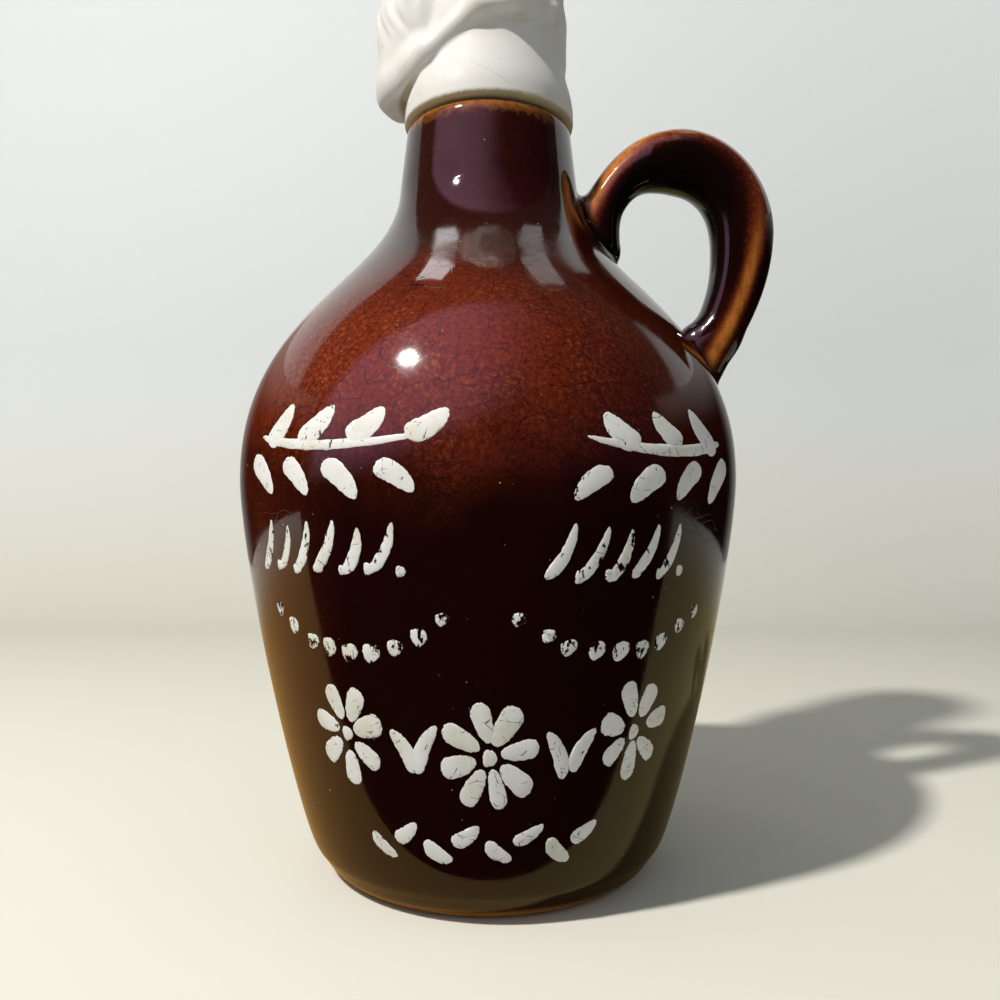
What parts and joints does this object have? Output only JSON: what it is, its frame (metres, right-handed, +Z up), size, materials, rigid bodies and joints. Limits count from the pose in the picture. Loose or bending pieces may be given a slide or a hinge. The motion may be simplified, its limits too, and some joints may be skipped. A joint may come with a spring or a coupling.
{
  "type": "figural decanter",
  "caption": "Brown-glazed stoneware decanter jug with a ring ear handle, closed by a cork stopper that carries a white bust of a bearded man.",
  "frame": {"origin": "centre of the jug's flat foot, on the jug's axis", "axes": "+Z up along the jug's axis, +X towards the handle, -X the way the bust looks"},
  "size_m": [0.1313, 0.12, 0.2577],
  "materials": {
    "brown_glaze": "glossy crazed brown glaze, amber where thin",
    "white_bisque": "satin off-white",
    "cork": "natural cork"
  },
  "bodies": {
    "jug": {"jug_body": "brown_glaze", "handle": "brown_glaze"},
    "stopper": {"stopper_head": "white_bisque", "stopper_cork": "cork"}
  },
  "joints": [
    {"name": "stopper_lift", "type": "slide", "parent": "jug", "child": "stopper", "axis": [0, 0, 1], "range_m": [0, 0.06]}
  ]
}
